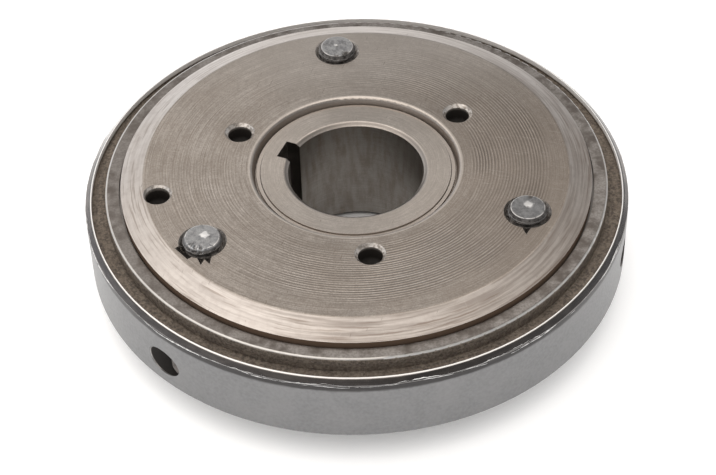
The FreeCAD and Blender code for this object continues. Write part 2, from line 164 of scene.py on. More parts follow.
# ---- shader graph helper ------------------------------------------------------
class Graph:
    """Builds one material from nodes. Every method returns an output socket; lengths are millimetres."""

    def __init__(self, name):
        self.material = bpy.data.materials.new(name)
        self.material.use_nodes = True
        self.nodes = self.material.node_tree.nodes
        self.links = self.material.node_tree.links
        self.nodes.clear()
        place = self.nodes.new("ShaderNodeTexCoord")
        self.point = place.outputs["Object"]
        self.x, self.y, self.height = self.split(self.point)
        self.up = self.split(place.outputs["Normal"])[2]
        self.flat = self.join(self.x, self.y, 0.0)
        self.radius = self.vector("LENGTH", self.flat)

    # plain nodes
    def feed(self, socket, value):
        if isinstance(value, bpy.types.NodeSocket):
            self.links.new(value, socket)
        else:
            socket.default_value = value

    def math(self, operation, *values, clamp=False):
        node = self.nodes.new("ShaderNodeMath")
        node.operation = operation
        node.use_clamp = clamp
        for socket, value in zip(node.inputs, values):
            self.feed(socket, value)
        return node.outputs[0]

    def vector(self, operation, *values):
        node = self.nodes.new("ShaderNodeVectorMath")
        node.operation = operation
        for socket, value in zip(node.inputs, values):
            self.feed(socket, value)
        return node.outputs["Value" if operation in ("LENGTH", "DOT_PRODUCT") else "Vector"]

    def split(self, value):
        node = self.nodes.new("ShaderNodeSeparateXYZ")
        self.feed(node.inputs[0], value)
        return tuple(node.outputs)

    def join(self, *values):
        node = self.nodes.new("ShaderNodeCombineXYZ")
        for socket, value in zip(node.inputs, values):
            self.feed(socket, value)
        return node.outputs[0]

    def mix(self, share, first, second, blend="MIX"):
        node = self.nodes.new("ShaderNodeMix")
        node.data_type = "RGBA"
        node.blend_type = blend
        node.clamp_factor = True
        self.feed(node.inputs["Factor"], share)
        for name, colour in (("A", first), ("B", second)):
            self.feed(node.inputs[name], colour if isinstance(colour, bpy.types.NodeSocket) else rgba(colour))
        return node.outputs["Result"]

    def noise(self, vector, scale=1.0, detail=3.0, roughness=0.55):
        node = self.nodes.new("ShaderNodeTexNoise")
        self.feed(node.inputs["Vector"], vector)
        node.inputs["Scale"].default_value = scale
        node.inputs["Detail"].default_value = detail
        node.inputs["Roughness"].default_value = roughness
        return node.outputs["Fac"]

    # arithmetic
    def times(self, *values):
        return self.fold("MULTIPLY", values)

    def largest(self, *values):
        return self.fold("MAXIMUM", values)

    def fold(self, operation, values):
        result = values[0]
        for value in values[1:]:
            result = self.math(operation, result, value)
        return result

    def flip(self, value):
        """1 where value is 0."""
        return self.math("SUBTRACT", 1.0, value)

    def weigh(self, pairs):
        """The sum of (value, weight) pairs."""
        return self.fold("ADD", [self.times(value, weight) for value, weight in pairs])

    def blend(self, share, first, second):
        """A plain number between first and second."""
        return self.math("ADD", self.times(self.math("SUBTRACT", second, first), share), first)

    def layers(self, colour, layers):
        """Lays each (mask, strength, colour) over the ones before it."""
        for mask, strength, tone in layers:
            colour = self.mix(mask if strength == 1.0 else self.times(mask, strength), colour, tone)
        return colour

    # masks
    def step(self, value, low, high, start=0.0, end=1.0):
        """A smooth change from start at low to end at high."""
        node = self.nodes.new("ShaderNodeMapRange")
        node.interpolation_type = "SMOOTHSTEP"
        for socket, each in zip(node.inputs, (value, low, high, start, end)):
            self.feed(socket, each)
        return node.outputs[0]

    def rise(self, length, low, high, start=0.0, end=1.0):
        """The same over a length."""
        return self.step(length, low * MM, high * MM, start, end)

    def band(self, length, low, high, soft):
        """1 between low and high and 0 outside, over edges soft wide."""
        rise = self.rise(length, low - soft / 2, low + soft / 2)
        fall = self.rise(length, high - soft / 2, high + soft / 2, 1.0, 0.0)
        return self.times(rise, fall)

    def ring(self, inner, outer, soft):
        """1 between two radii."""
        return self.band(self.radius, inner, outer, soft)

    def near(self, centre, reach, soft):
        """1 within reach of a vertical line through centre, falling to 0 over soft."""
        away_x = self.math("SUBTRACT", self.x, centre.x)
        away_y = self.math("SUBTRACT", self.y, centre.y)
        away = self.vector("LENGTH", self.join(away_x, away_y, 0.0))
        return self.rise(away, reach + soft / 2, reach - soft / 2)

    def edge_wear_and_highlight(self, size):
        """1 on the sharp edges of the surface, 0 on its flats."""
        node = self.nodes.new("ShaderNodeBevel")
        node.samples = EDGE_SAMPLES
        node.inputs["Radius"].default_value = size * MM
        geometry = self.nodes.new("ShaderNodeNewGeometry")
        facing = self.vector("DOT_PRODUCT", node.outputs[0], geometry.outputs["Normal"])
        return self.step(facing, 0.995, 0.8)

    def crevices(self, distance):
        """1 in corners and gaps, 0 in the open."""
        node = self.nodes.new("ShaderNodeAmbientOcclusion")
        node.samples = CREVICE_SAMPLES
        node.inputs["Distance"].default_value = distance * MM
        return self.math("SUBTRACT", 1.0, node.outputs["AO"], clamp=True)

    # patterns
    def speckle(self, size, low, high, detail=4.0):
        """Blotches about size across."""
        return self.step(self.noise(self.point, 1 / (size * MM), detail), low, high)

    def turning(self, around, pitch):
        """Coordinates that follow the turning: slow round the axis, fast across the tool's path."""
        heading = self.vector("NORMALIZE", self.flat)
        hx, hy, _ = self.split(self.vector("MULTIPLY", heading, (around, around, around)))
        path = self.math("ADD", self.radius, self.times(self.height, PATH_SLOPE))
        return self.join(hx, hy, self.times(path, 1 / (pitch * MM)))

    def scratches(self, angle, length, width, rarity):
        """Thin straight marks that run along angle, in degrees; 1 on a mark."""
        turn = self.nodes.new("ShaderNodeVectorRotate")
        turn.rotation_type = "Z_AXIS"
        turn.inputs["Angle"].default_value = math.radians(angle)
        self.feed(turn.inputs["Vector"], self.point)
        per_length, per_width = 1 / (length * MM), 1 / (width * MM)
        stretched = self.vector("MULTIPLY", turn.outputs[0], (per_length, per_width, per_length))
        return self.step(self.noise(stretched, detail=0.0), rarity, rarity + 0.04)

    def finish(self, colour, roughness, bump_height, metallic=1.0, anisotropic=0.0):
        """Joins the metal's colour, gloss and relief to the material's output."""
        shader = self.nodes.new("ShaderNodeBsdfPrincipled")
        output = self.nodes.new("ShaderNodeOutputMaterial")
        self.feed(shader.inputs["Base Color"], colour)
        self.feed(shader.inputs["Roughness"], roughness)
        self.feed(shader.inputs["Metallic"], metallic)
        shader.inputs["Anisotropic"].default_value = anisotropic
        shader.inputs["Specular IOR Level"].default_value = NON_METAL_GLOSS
        if anisotropic:
            tangent = self.nodes.new("ShaderNodeTangent")
            tangent.direction_type = "RADIAL"
            tangent.axis = "Z"
            self.feed(shader.inputs["Tangent"], tangent.outputs[0])
        bump = self.nodes.new("ShaderNodeBump")
        bump.inputs["Distance"].default_value = 1.0
        self.feed(bump.inputs["Height"], bump_height)
        self.feed(shader.inputs["Normal"], bump.outputs[0])
        self.links.new(shader.outputs[0], output.inputs[0])
        return self.material


def rgba(colour):
    return (*colour, 1.0)


def polar(radius, angle, z=0.0):
    turn = math.radians(angle)
    return Vector((radius * math.cos(turn), radius * math.sin(turn), z))


# ---- materials ----------------------------------------------------------------
def turned_steel():
    """The hub disc: machined steel with lathe marks, a bevel painted lighter towards the left, painted
    highlights on some edges, painted shade in its holes, and grime with painted shade in its crevices.
    """
    g = Graph("turned_steel")
    x, y, height, radius = g.x, g.y, g.height, g.radius
    warm, pale = (0.62, 0.565, 0.515), (0.74, 0.69, 0.645)

    # the disc's surfaces
    up = g.step(g.up, 0.2, 0.7)
    wall = g.flip(up)
    top = g.times(up, g.rise(height, 24.8, 25.0))
    face = g.times(top, g.ring(FACE_IN, FACE_OUT, 0.2))
    bevel = g.times(top, g.rise(radius, FACE_OUT - 0.05, FACE_OUT + 0.25))
    hub = g.times(top, g.rise(radius, 21.0, 20.8))
    hub_ring = g.times(top, g.ring(19.72, 20.42, 0.06))
    hub_gap = g.times(g.ring(20.45, 20.8, 0.05), g.rise(height, 25.5, 25.3))
    # painted highlight on the rounded inner edge of the face, beside the hub
    hub_edge_highlight = g.times(g.ring(21.4, 22.1, 0.2), g.rise(height, 26.4, 26.6))
    bore = g.times(wall, g.rise(radius, 14.6, 14.2))
    bore_chamfer = g.times(g.ring(14.3, 14.62, 0.08), g.rise(height, 25.0, 25.2))
    keyway = g.times(wall, g.ring(14.15, 16.9, 0.1))
    in_hole = g.times(g.ring(21.9, 44.5, 0.2), g.rise(height, 26.6, 25.6))
    step_wall = g.times(g.rise(radius, DISC_OUT - 0.12, DISC_OUT - 0.04), g.rise(height, 25.0, 24.88))
    under = g.times(g.rise(height, 24.0, 22.0), g.flip(bore))
    dents = []
    for bolt, direction, distance, reach in DENTS:
        centre = polar(BOLT_CIRCLE_R, BOLTS[bolt]) + polar(distance * MM, direction)
        dents.append(g.near(centre, reach, 0.4))
    dents = g.times(g.largest(*dents), g.rise(height, 26.97, 26.9), g.rise(radius, 43.4, 43.0))
    # painted highlight: the upper walls of the holes painted near white, broken up by noise
    mouth_highlight = g.times(g.band(height, 26.2, 26.93, 0.1), g.ring(22, 43, 0.5), g.flip(dents),
                     g.step(g.noise(g.point, 1100.0, 4.0), 0.35, 0.62))

    # tool marks: fine and broad rings, and the coarse feed marks that come and go towards the right
    fine_rings = g.noise(g.turning(3.0, 0.16), detail=2.0)
    broad_rings = g.noise(g.turning(1.4, 2.6), detail=2.0)
    bevel_rings = g.step(g.noise(g.turning(4.5, 0.13), detail=1.0), 0.56, 0.72)
    feed = g.math("SINE", g.weigh([(radius, math.tau / (0.62 * MM)), (broad_rings, 5.0)]))
    patchy = g.times(g.step(g.noise(g.point, 45.0, 1.0), 0.36, 0.6, 0.35, 1.0),
                     g.rise(x, -25.0, 14.0, 0.4, 2.0), g.rise(y, 32.0, 8.0, 0.2, 1.0))
    coarse = g.times(feed, face, g.ring(25.0, 39.0, 5.0), patchy)

    # wear and dirt
    smudge = g.speckle(14, 0.35, 0.7)
    grit = g.speckle(0.28, 0.3, 0.7, 2.0)
    stains = g.times(g.speckle(8, 0.42, 0.72, 5.0), g.rise(y, -12.0, 20.0, 0.25, 0.32))
    marks = g.times(g.largest(g.scratches(20, 5, 0.09, 0.79), g.scratches(-50, 3, 0.08, 0.8),
                              g.scratches(75, 7, 0.1, 0.81)), up)
    nicks = g.times(g.scratches(115, 2, 0.22, 0.82), top)
    # painted shade: the face darker towards the right (+X) and the front (-Y)
    right_side_shade = g.times(face, g.rise(x, -5.0, 35.0, 0.0, 0.62), g.rise(y, 26.0, 4.0, 0.1, 1.0))
    # painted light: the top paler towards the back (+Y), less so on the left
    back_painted_light = g.times(top, g.rise(y, 14.0, 40.0, 0.0, 0.4), g.rise(x, -32.0, -4.0, 0.3, 1.0))
    # grime and painted shade: darker where ambient occlusion finds a crevice, broken up by noise
    grime_and_shade = g.times(g.crevices(1.2), g.step(g.noise(g.point, 900.0), 0.2, 0.6),
                    g.rise(height, 26.5, 26.1), g.rise(radius, 21.5, 23.0, 0.45, 1.0))
    # edge wear and painted highlight: sharp edges painted brighter
    edges = g.edge_wear_and_highlight(0.16)

    bevel_colour = g.mix(g.step(fine_rings, 0.35, 0.65), (0.66, 0.61, 0.57), (0.46, 0.41, 0.375))
    # painted light: the bevel paler towards the left (-X)
    bevel_colour = g.mix(g.rise(x, -5.0, -35.0, 0.0, 0.6), bevel_colour, (0.84, 0.79, 0.75))
    run_down = g.noise(g.vector("MULTIPLY", g.point, (700.0, 700.0, 160.0)), detail=4.0)
    wall_colour = g.mix(g.step(run_down, 0.35, 0.7), (0.31, 0.30, 0.285), (0.20, 0.18, 0.16))
    wall_colour = g.mix(g.rise(radius, 17.5, 18.0), wall_colour, (0.50, 0.44, 0.39))
    dent_colour = g.mix(g.step(g.noise(g.point, 2200.0, 3.0), 0.45, 0.7), NEAR_BLACK, (0.075, 0.065, 0.055))
    colour = g.layers(g.mix(g.times(smudge, 0.55), warm, pale), [
        (right_side_shade, 1.0, (0.33, 0.28, 0.24)),
        (g.step(fine_rings, 0.32, 0.68, 0.0, 0.62), 1.0, (0.24, 0.205, 0.175)),
        (g.step(coarse, -0.3, 1.1, 0.0, 0.75), 1.0, (0.17, 0.14, 0.118)),
        (g.step(broad_rings, 0.35, 0.75, 0.0, 0.32), 1.0, (0.34, 0.30, 0.26)),
        (stains, 1.0, (0.43, 0.37, 0.32)),
        (g.speckle(1.1, 0.35, 0.75), 0.34, (0.27, 0.23, 0.20)),
        (grit, 0.42, (0.22, 0.19, 0.165)),
        (bevel, 0.85, bevel_colour),
        (g.times(bevel, g.speckle(1.6, 0.4, 0.72, 6.0)), 0.25, (0.40, 0.34, 0.31)),
        (g.times(bevel, bevel_rings), 0.5, (0.27, 0.205, 0.165)),
        (back_painted_light, 1.0, pale),
        (hub, 0.35, (0.62, 0.58, 0.54)),
        (wall, 0.7, wall_colour),
        (keyway, 0.7, (0.09, 0.08, 0.07)),
        # painted shade: the insides of the holes painted near black
        (in_hole, 0.97, NEAR_BLACK),
        (step_wall, 1.0, (0.10, 0.065, 0.045)),
        (under, 0.45, (0.30, 0.28, 0.26)),
        (grime_and_shade, 0.75, (0.12, 0.085, 0.06)),
        (hub_ring, 0.4, (0.58, 0.52, 0.47)),
        (hub_gap, 0.7, (0.14, 0.11, 0.09)),
        (hub_edge_highlight, 0.4, (0.86, 0.80, 0.74)),
        (bore_chamfer, 0.55, (0.30, 0.265, 0.24)),
        (mouth_highlight, 0.85, (0.93, 0.88, 0.83)),
        (edges, 0.6, (0.86, 0.82, 0.78)),
        (marks, 0.3, (0.80, 0.75, 0.70)),
        (nicks, 0.55, (0.20, 0.16, 0.13)),
        (dents, 1.0, dent_colour),
    ])

    roughness = g.weigh([(g.blend(smudge, 0.36, 0.44), 1.0), (g.step(fine_rings, 0.3, 0.7, -0.05, 0.05), 1.0),
                         (edges, -0.15), (bevel, 0.10)])
    relief = g.weigh([(fine_rings, 9.0e-6), (coarse, 1.6e-5), (broad_rings, 2.0e-5),
                      (marks, -4.0e-6), (grit, 4.0e-6)])
    matte = g.largest(in_hole, dents, step_wall, g.times(grime_and_shade, 0.7))
    roughness = g.blend(matte, roughness, 0.7)
    return g.finish(colour, roughness, relief, g.flip(g.times(matte, 0.9)), anisotropic=0.5)


def housing_steel():
    """The clutch housing: mottled ledge with a painted highlight on its edge, dirty groove, polished lip with
    a painted highlight on its crest, ground side, and painted shade inside and in its corners.
    """
    g = Graph("housing_steel")
    x, y, height, radius = g.x, g.y, g.height, g.radius

    # the housing's surfaces
    ledge = g.times(g.rise(height, 23.4, 23.6), g.rise(radius, 48.5, 48.9))
    # painted highlight on the ledge's outer edge
    ledge_edge_highlight = g.times(ledge, g.rise(radius, 51.2, 51.35))
    groove = g.times(g.ring(51.6, 54.76, 0.1), g.rise(height, 20.2, 20.5))
    # painted highlight: the lip's crest and inner wall painted near white, the wall also less metallic so it
    # looks bright from every side
    lip_wall = g.times(g.ring(54.6, 54.85, 0.04), g.rise(height, 20.9, 21.3))
    lip = g.times(g.rise(radius, 54.72, 54.8), g.rise(height, 21.05, 21.2))
    lip_crest_highlight = g.largest(g.times(lip, g.rise(height, 22.09, 22.18)), lip_wall)
    lip_scale = g.times(lip, g.rise(y, 34.0, 12.0, 0.0, 0.92))
    outside = g.rise(radius, 55.9, 55.98)
    inside = g.times(g.rise(radius, 55.9, 55.7), g.band(height, 6.9, 20.3, 0.1))

    # tool marks, wear and dirt
    arcs = g.noise(g.turning(16.0, 0.5), detail=3.0)
    fine_rings = g.noise(g.turning(3.0, 0.14), detail=2.0)
    blotch = g.speckle(3.2, 0.36, 0.68, 6.0)
    grain = g.speckle(0.45, 0.3, 0.75, 3.0)
    streaks = g.step(arcs, 0.4, 0.7)
    caked = g.step(g.noise(g.point, 1 / (0.6 * MM), 6.0, 0.65), 0.38, 0.66)
    wander = g.times(g.math("SUBTRACT", arcs, 0.5), 0.6 * MM)
    # a darker band on the side just below the burr, with a wavy edge
    band_below_burr = g.times(g.rise(g.math("ADD", height, wander), 19.3, 20.0), g.rise(radius, 55.6, 55.9))
    # painted shade in the corners inside radius 51 mm, such as the gap beside the disc
    gap_shade = g.times(g.crevices(0.8), g.rise(radius, 52.0, 51.0))

    ledge_dark = (0.15, 0.132, 0.12)
    side_colour = g.mix(g.speckle(0.7, 0.3, 0.75, 5.0), (0.19, 0.193, 0.198), (0.150, 0.152, 0.157))
    side_colour = g.mix(g.times(g.speckle(7, 0.4, 0.7), 0.5), side_colour, (0.205, 0.205, 0.208))
    ledge_colour = g.layers(g.mix(blotch, (0.43, 0.405, 0.385), (0.18, 0.158, 0.142)), [
        (grain, 0.5, ledge_dark),
        # painted shade: the ledge darker towards the left (-X)
        (g.rise(x, -12.0, -48.0, 0.0, 0.4), 1.0, ledge_dark),
    ])
    dirt_colour = g.layers(g.mix(streaks, (0.045, 0.031, 0.022), (0.13, 0.10, 0.076)), [
        (caked, 0.8, (0.26, 0.21, 0.16)),
        (g.speckle(0.35, 0.5, 0.8), 0.5, (0.34, 0.30, 0.25)),
        (blotch, 0.35, (0.10, 0.075, 0.055)),
    ])
    lip_scale_colour = g.mix(streaks, (0.045, 0.038, 0.037), (0.10, 0.088, 0.083))
    colour = g.layers(g.mix(g.times(blotch, 0.5), (0.40, 0.385, 0.37), (0.34, 0.32, 0.30)), [
        (outside, 0.9, side_colour),
        (band_below_burr, 0.9, (0.035, 0.033, 0.033)),
        (ledge, 1.0, ledge_colour),
        (ledge_edge_highlight, 0.8, (0.85, 0.83, 0.80)),
        (groove, 0.9, dirt_colour),
        (lip, 1.0, (0.92, 0.90, 0.88)),
        (lip_scale, 1.0, lip_scale_colour),
        (lip_crest_highlight, 0.9, (0.88, 0.86, 0.84)),
        (g.step(fine_rings, 0.4, 0.75, 0.0, 0.14), 1.0, (0.25, 0.24, 0.23)),
        (gap_shade, 0.5, (0.07, 0.055, 0.045)),
        # painted shade: the housing's inner surfaces below the groove painted near black
        (inside, 0.95, (0.015, 0.013, 0.012)),
    ])

    roughness = g.blend(ledge, 0.34, 0.42)
    for zone, value in ((groove, 0.62), (lip, 0.2), (lip_wall, 0.5)):
        roughness = g.blend(zone, roughness, value)
    roughness = g.math("ADD", roughness, g.times(grain, 0.06))
    relief = g.weigh([(fine_rings, 1.5e-6), (g.times(streaks, groove), 3.0e-5),
                      (g.times(blotch, ledge), 8.0e-6)])
    spring_bores = g.times(inside, g.rise(radius, 47.0, 48.0))
    matte = g.largest(spring_bores, g.times(groove, g.flip(lip_wall), 0.6))
    metallic = g.flip(g.times(g.largest(matte, lip_wall), 0.9))
    return g.finish(colour, g.blend(matte, roughness, 0.75), relief, metallic, anisotropic=0.3)


def worn_metal(name, clean, dull, roughness, grain_size, ring_pitch=None, metallic=1.0):
    """A small metal piece: two tones in blotches, fine grain, edges worn bright with a painted highlight, and
    painted shade in its corners.
    """
    g = Graph(name)
    rings = g.noise(g.turning(4.0, ring_pitch or 0.3))
    tone = g.speckle(grain_size * 4, 0.35, 0.7)
    grain = g.speckle(grain_size, 0.3, 0.75)
    edges = g.edge_wear_and_highlight(0.12)
    layers = [(grain, 0.25, [c * 0.55 for c in clean])]
    if ring_pitch:
        layers.append((g.step(rings, 0.35, 0.7, 0.0, 0.25), 1.0, [c * 0.7 for c in clean]))
    # edge wear and painted highlight: sharp edges painted brighter
    layers.append((edges, 0.55, [min(1.0, c * 1.9 + 0.08) for c in clean]))
    # painted shade in the corners
    layers.append((g.crevices(0.8), 0.6, (0.05, 0.04, 0.03)))
    colour = g.layers(g.mix(tone, clean, dull), layers)
    rough = g.math("ADD", g.blend(tone, roughness, roughness + 0.1), g.times(edges, -0.12))
    return g.finish(colour, rough, g.weigh([(grain, 2.0e-6), (rings, 2.0e-6)]), metallic)


def bolt_steel(number, centre, patch, patch_size, patch_softness, worn_depth, brightness):
    """A staked bolt: dark flank, bluish grey end with a bright patch of burnished metal with a painted glint,
    and a rim painted bright as a highlight.
    """
    g = Graph(f"bolt_steel_{number}")
    x, y, z = g.split(g.vector("SUBTRACT", g.point, centre))
    across = g.join(x, y, 0.0)
    end = g.rise(z, -worn_depth, -0.02)
    mottle = g.speckle(0.9, 0.3, 0.72, 5.0)
    grain = g.speckle(0.25, 0.3, 0.75, 3.0)
    to_patch = g.vector("SUBTRACT", across, (patch[0] * MM, patch[1] * MM, 0.0))
    wobble = g.times(g.math("SUBTRACT", g.noise(g.point, 1300.0), 0.5), 1.4 * MM)
    from_patch = g.math("ADD", g.vector("LENGTH", to_patch), wobble)
    # burnished metal and painted glint on the end
    burnished_glint = g.times(end, g.rise(from_patch, patch_size + patch_softness, patch_size))
    end_rim = g.band(g.vector("LENGTH", across), END_R / MM - 0.22, END_R / MM + 0.1, 0.15)
    # painted highlight: a bright ring at the edge of the end, broken up by noise
    rim = g.times(end, end_rim, g.step(g.noise(g.point, 900.0, 4.0), 0.40, 0.5))
    end_colour = g.mix(mottle, (0.47, 0.47, 0.475), (0.20, 0.20, 0.21))
    end_colour = g.mix(g.times(g.speckle(2.2, 0.35, 0.65, 5.0), 0.5), end_colour, (0.55, 0.56, 0.57))
    end_colour = g.mix(1.0, end_colour, (brightness, brightness, brightness), "MULTIPLY")
    colour = g.layers(g.mix(mottle, (0.05, 0.045, 0.042), (0.22, 0.205, 0.195)), [
        (end, 1.0, end_colour),
        (grain, 0.3, (0.10, 0.10, 0.10)),
        (rim, 0.75, (0.80, 0.79, 0.78)),
        (burnished_glint, 0.85, (0.92, 0.92, 0.92)),
        # edge wear and painted highlight: sharp edges painted brighter
        (g.edge_wear_and_highlight(0.15), 0.6, (0.62, 0.61, 0.60)),
    ])
    rough = g.math("ADD", g.blend(burnished_glint, 0.45, 0.34), g.times(mottle, 0.08))
    return g.finish(colour, rough, g.weigh([(mottle, 1.2e-5), (grain, 3.0e-6)]))


def dress(nodes, material):
    """Gives CAD nodes a material in place of the one they came with."""
    for name in nodes:
        mesh = frame["nodes"][name].data
        mesh.materials.clear()
        mesh.materials.append(material)


# ---- mesh helpers -------------------------------------------------------------
def circle_of(count):
    """Turns in radians, evenly round a circle."""
    return [i * math.tau / count for i in range(count)]


def skin(name, rings, material, cyclic=False):
    """A closed surface through rings of points; the two end rings are capped unless it is cyclic."""
    bm = bmesh.new()
    loops = [[bm.verts.new(point) for point in ring] for ring in rings]
    pairs = list(zip(loops, loops[1:])) + ([(loops[-1], loops[0])] if cyclic else [])
    for low, high in pairs:
        for i in range(len(low)):
            j = (i + 1) % len(low)
            bm.faces.new((low[i], low[j], high[j], high[i]))
    if not cyclic:
        for loop in (loops[0], loops[-1]):
            centre = bm.verts.new(sum((v.co for v in loop), Vector()) / len(loop))
            for i in range(len(loop)):
                bm.faces.new((loop[i], loop[(i + 1) % len(loop)], centre))
    bmesh.ops.recalc_face_normals(bm, faces=bm.faces)
    return as_object(name, bm, material)


def as_object(name, bm, material, sharp=35.0):
    """Puts a bmesh in the scene, smooth except over edges sharper than sharp degrees."""
    mesh = bpy.data.meshes.new(name)
    for edge in bm.edges:
        edge.smooth = edge.is_manifold and edge.calc_face_angle(0.0) < math.radians(sharp)
    for face in bm.faces:
        face.smooth = True
    bm.to_mesh(mesh)
    bm.free()
    mesh.materials.append(material)
    obj = bpy.data.objects.new(name, mesh)
    bpy.context.scene.collection.objects.link(obj)
    return obj


# ---- bolts --------------------------------------------------------------------
def hexagon_r(flats, turn):
    """Distance from the middle of a hexagon to its side, in the direction of turn."""
    sixth = math.tau / 6
    return flats / 2 / math.cos((turn + sixth / 2) % sixth - sixth / 2)


def thread_r(turn, z, low, high):
    """The radius of the thread, which runs out over its last turn at each end."""
    phase = (z / THREAD_PITCH - turn / math.tau) % 1.0
    valley = max(0.0, min(1.0, FLANK_TOP - abs(phase - 0.5) * FLANK_SLOPE))
    fade = min(1.0, (z - low) / THREAD_PITCH, (high - z) / (0.4 * THREAD_PITCH))
    return THREAD_R - THREAD_DEPTH * valley * max(0.0, fade)


def bolt_rows(head_low, end):
    """(radius as a function of the turn, height) for each ring of the bolt, from its socket outwards."""
    chamfer_top = end - END_CHAMFER
    seat = head_low + HEAD_HEIGHT
    thread_low = seat + 0.3 * MM

    def socket(share):
        return lambda turn: hexagon_r(SOCKET_FLATS, turn) * share

    def mouth(share):
        return lambda turn: max(hexagon_r(SOCKET_FLATS, turn), SOCKET_FLATS * share)

    def plain(radius):
        return lambda turn: radius

    rows = [
        (socket(0.6), head_low + SOCKET_DEPTH + 0.3 * MM),
        (socket(0.97), head_low + SOCKET_DEPTH),
        (socket(1.0), head_low + SOCKET_DEPTH - 0.1 * MM),
        (socket(1.0), head_low + 0.3 * MM),
        (mouth(0.56), head_low + 0.12 * MM),
        (mouth(0.59), head_low),
        (plain(HEAD_R - HEAD_CHAMFER - 0.1 * MM), head_low),
        (plain(HEAD_R - HEAD_CHAMFER), head_low + 0.03 * MM),
        (plain(HEAD_R), head_low + HEAD_CHAMFER),
        (plain(HEAD_R), seat - 0.15 * MM),
        (plain(HEAD_R - 0.15 * MM), seat),
        (plain(THREAD_R + 0.12 * MM), seat),
        (plain(THREAD_R), seat + 0.15 * MM),
    ]
    step = THREAD_PITCH / ROWS_PER_THREAD
    for i in range(int((chamfer_top - thread_low) / step) + 1):
        z = thread_low + i * step
        rows.append((lambda turn, z=z: thread_r(turn, z, seat, chamfer_top + THREAD_PITCH), z))
    return rows


def bolt_end(number, centre, end):
    """Rings of the bolt's chamfered, staked end, from the thread up to its middle."""
    # (share of the thread's radius, depth below the end in mm)
    profile = [(1.0, 0.75), (0.97, 0.62), (0.93, 0.45), (0.9, 0.3), (0.885, 0.15), (0.87, 0.03),
               (0.85, 0.0), (0.8, 0.0), (0.7, 0.0), (0.55, 0.0), (0.4, 0.0), (0.25, 0.0),
               (0.16, 0.0), (0.1, 0.03), (0.03, 0.06)]
    rings = []
    for share, depth in profile:
        ring = []
        for i in range(BOLT_SEGMENTS):
            angle = i * 360 / BOLT_SEGMENTS
            point = polar(THREAD_R * share, angle, end - depth * MM)
            ring.append(centre + stake(number, point, angle, end))
        rings.append(ring)
    return rings


def stake(number, point, angle, end):
    """Beats the end's edge down at each bite and roughens the face a little."""
    share = Vector((point.x, point.y, 0)).length / THREAD_R
    rough = noise.noise(Vector((point.x, point.y, number)) * END_GRAIN) * END_ROUGHNESS
    point.z += rough * min(1.0, share * 2)
    for bite, spread, depth in BITES[number]:
        off = abs((angle - bite + 180) % 360 - 180) / spread
        ragged = 1 + 0.45 * noise.noise(Vector((angle * 0.16, share * 6, number)))
        sunk = min(1.0, max(0.0, share * ragged - BITE_START) / BITE_EDGE)
        weight = max(0.0, 1 - off * off) ** 0.5 * sunk
        point.z = max(point.z - depth * MM * weight, end - DEEPEST)
    return point


def make_bolt(number, material):
    """A low-head socket screw from below, threaded, with its end staked over the disc's face."""
    node = f"clutch_bolt_{number}"
    low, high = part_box(node)
    centre = Vector(((low.x + high.x) / 2, (low.y + high.y) / 2, 0))
    rings = [[centre + Vector((radius_at(t) * math.cos(t), radius_at(t) * math.sin(t), z))
              for t in circle_of(BOLT_SEGMENTS)] for radius_at, z in bolt_rows(low.z, high.z)]
    rings += bolt_end(number, centre, high.z - 0.02 * MM)
    bolt = skin(f"staked_bolt_{number}", rings, material)
    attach(bolt, "hub")
    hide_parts(node)


# ---- burr on the rim ----------------------------------------------------------
def rim_surface(z):
    """Radius of the rim's outer surface at height z, over the side and the lip's corner."""
    return min(RIM_R, RIM_R + (RIM_TOP_EDGE - z))


def make_burr(name, seed, z_mean, wander, size, material):
    """A thin ragged bead of rolled-over metal that comes and goes along the rim's edge."""
    rings = []
    for i in range(BURR_STEPS):
        angle = i * 360 / BURR_STEPS
        spot = polar(1.0, angle, seed)
        drift = noise.fractal(spot * DRIFT_SCALE, 1.0, 2.0, 4)
        ragged = noise.fractal(spot * RAGGED_SCALE, 1.0, 2.0, 3)
        swing = noise.fractal(spot * AMOUNT_SCALE + Vector((7, 0, 0)), 1.0, 2.0, 4)
        amount = max(0.0, AMOUNT_MEAN + swing * AMOUNT_SWING)
        z = z_mean + wander * drift + 0.12 * wander * ragged
        radius = max(size * min(1.0, amount) * (0.75 + 1.1 * ragged), THINNEST)
        # where there is next to no burr the bead lies wholly inside the rim
        sunk = 0.35 * radius + (0.03 * MM if amount < 0.1 else 0)
        centre_r = rim_surface(z) - sunk
        rings.append([polar(centre_r + radius * math.cos(turn), angle, z + radius * math.sin(turn))
                      for turn in circle_of(BURR_SIDES)])
    burr = skin(name, rings, material, cyclic=True)
    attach(burr, "hub")


